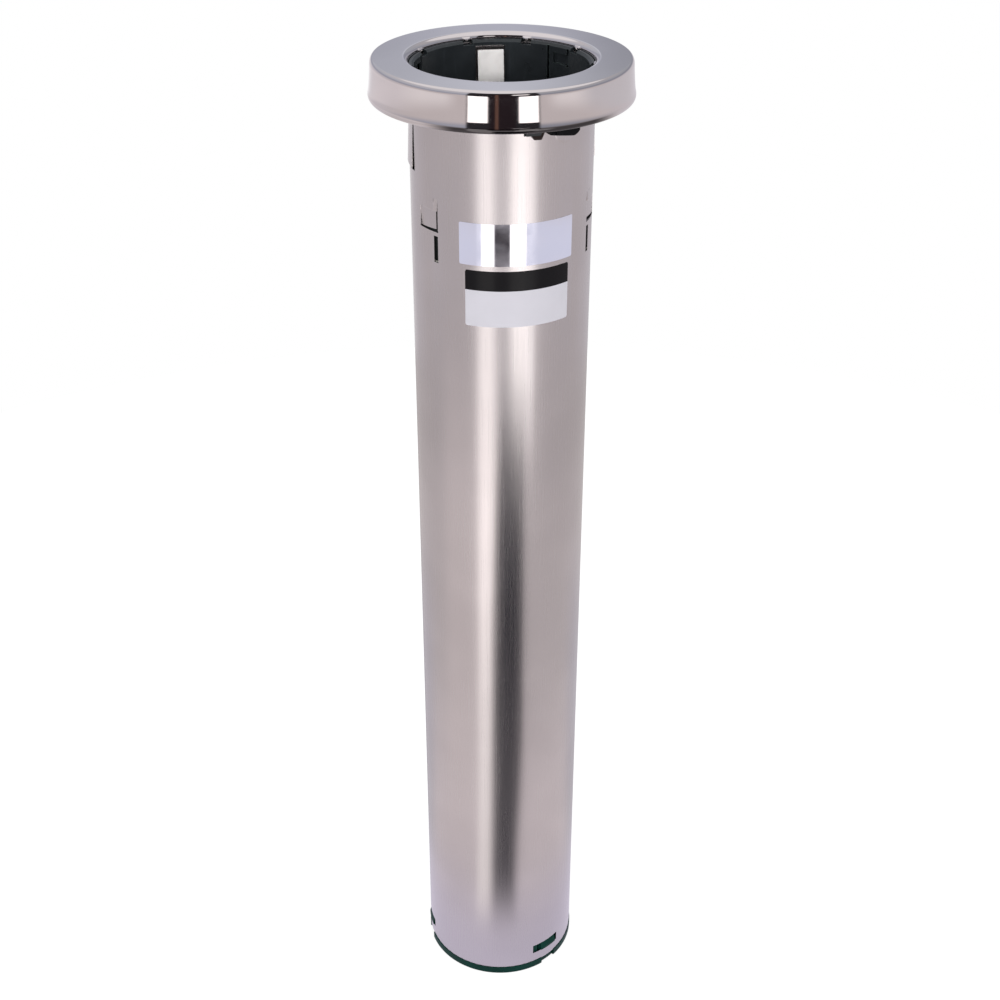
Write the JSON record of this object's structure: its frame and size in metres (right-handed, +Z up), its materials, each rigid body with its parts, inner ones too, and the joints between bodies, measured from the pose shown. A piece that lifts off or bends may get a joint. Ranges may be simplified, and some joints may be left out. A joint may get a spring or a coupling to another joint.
{
  "type": "in-counter cup dispenser",
  "caption": "Drop-in tube for a stack of disposable cups: trim ring, lined mouth with sprung, height-adjustable cup fingers, and a spring-lifted pusher over a snap-in foot cap.",
  "frame": {"origin": "centre of the foot rim, on the plane that the dispenser stands on", "axes": "+Z up along the tube's axis, the front (the side that carries the blank labels) towards -Y, +X to the right seen from the front"},
  "size_m": [0.1334, 0.1334, 0.596],
  "materials": {
    "tube_steel": "satin rolled sheet, warm grey",
    "trim_steel": "bright polished sheet",
    "core_plastic": "moulded, fine grain",
    "collar_plastic": "moulded, dark green-black, low sheen",
    "cap_plastic": "moulded, deep green, satin",
    "seat_steel": "pressed washer, dull zinc",
    "spring_wire": "drawn stainless wire",
    "plate_plastic": "moulded, charcoal, fine grain",
    "pusher_plastic": "moulded, black",
    "screw_steel": "stainless, plain",
    "glide_plastic": "low-friction band, off-white",
    "carrier_plastic": "moulded, black",
    "finger_steel": "bright pressed spring steel",
    "pin_steel": "ground pin"
  },
  "bodies": {
    "housing": {"tube": "tube_steel", "trim_ring": "trim_steel", "flange_core": "core_plastic", "collar": "collar_plastic", "foot_cap": "cap_plastic", "spring_seat": "seat_steel", "lift_spring": "spring_wire"},
    "pusher": {"pusher_plate": "plate_plastic", "pusher_body": "pusher_plastic", "pusher_screws": "screw_steel", "glide_band": "glide_plastic"},
    "carrier_left_body": {"carrier_left": "carrier_plastic", "finger_pin_left": "pin_steel"},
    "carrier_right_body": {"carrier_right": "carrier_plastic", "finger_pin_right": "pin_steel"},
    "carrier_rear_body": {"carrier_rear": "carrier_plastic", "finger_pin_rear": "pin_steel"},
    "finger_left_body": {"finger_left": "finger_steel", "finger_spring_left": "spring_wire"},
    "finger_right_body": {"finger_right": "finger_steel", "finger_spring_right": "spring_wire"},
    "finger_rear_body": {"finger_rear": "finger_steel", "finger_spring_rear": "spring_wire"}
  },
  "joints": [
    {"name": "pusher_lift", "type": "slide", "parent": "housing", "child": "pusher", "axis": [0, 0, 1], "range_m": [-0.4545, 0], "stiffness_N_per_m": 25, "springref_m": 0.24, "deforming": ["lift_spring"]},
    {"name": "finger_adjust_left", "type": "slide", "parent": "housing", "child": "carrier_left_body", "axis": [0, 0, 1], "range_m": [-0.006, 0]},
    {"name": "finger_adjust_right", "type": "slide", "parent": "housing", "child": "carrier_right_body", "axis": [0, 0, 1], "range_m": [-0.006, 0]},
    {"name": "finger_adjust_rear", "type": "slide", "parent": "housing", "child": "carrier_rear_body", "axis": [0, 0, 1], "range_m": [-0.006, 0]},
    {"name": "finger_flex_left", "type": "hinge", "parent": "carrier_left_body", "child": "finger_left_body", "pos_m": [-0.03984, -0.01943, 0.5454], "axis": [0.4384, -0.8988, 0], "range_deg": [0, 4], "stiffness_Nm_per_rad": 1, "springref_deg": -2.86},
    {"name": "finger_flex_right", "type": "hinge", "parent": "carrier_right_body", "child": "finger_right_body", "pos_m": [0.03675, -0.02479, 0.5454], "axis": [0.5592, 0.829, 0], "range_deg": [0, 4], "stiffness_Nm_per_rad": 1, "springref_deg": -2.86},
    {"name": "finger_flex_rear", "type": "hinge", "parent": "carrier_rear_body", "child": "finger_rear_body", "pos_m": [0.00309, 0.04422, 0.5454], "axis": [-0.9976, 0.0698, 0], "range_deg": [0, 4], "stiffness_Nm_per_rad": 1, "springref_deg": -2.86}
  ]
}
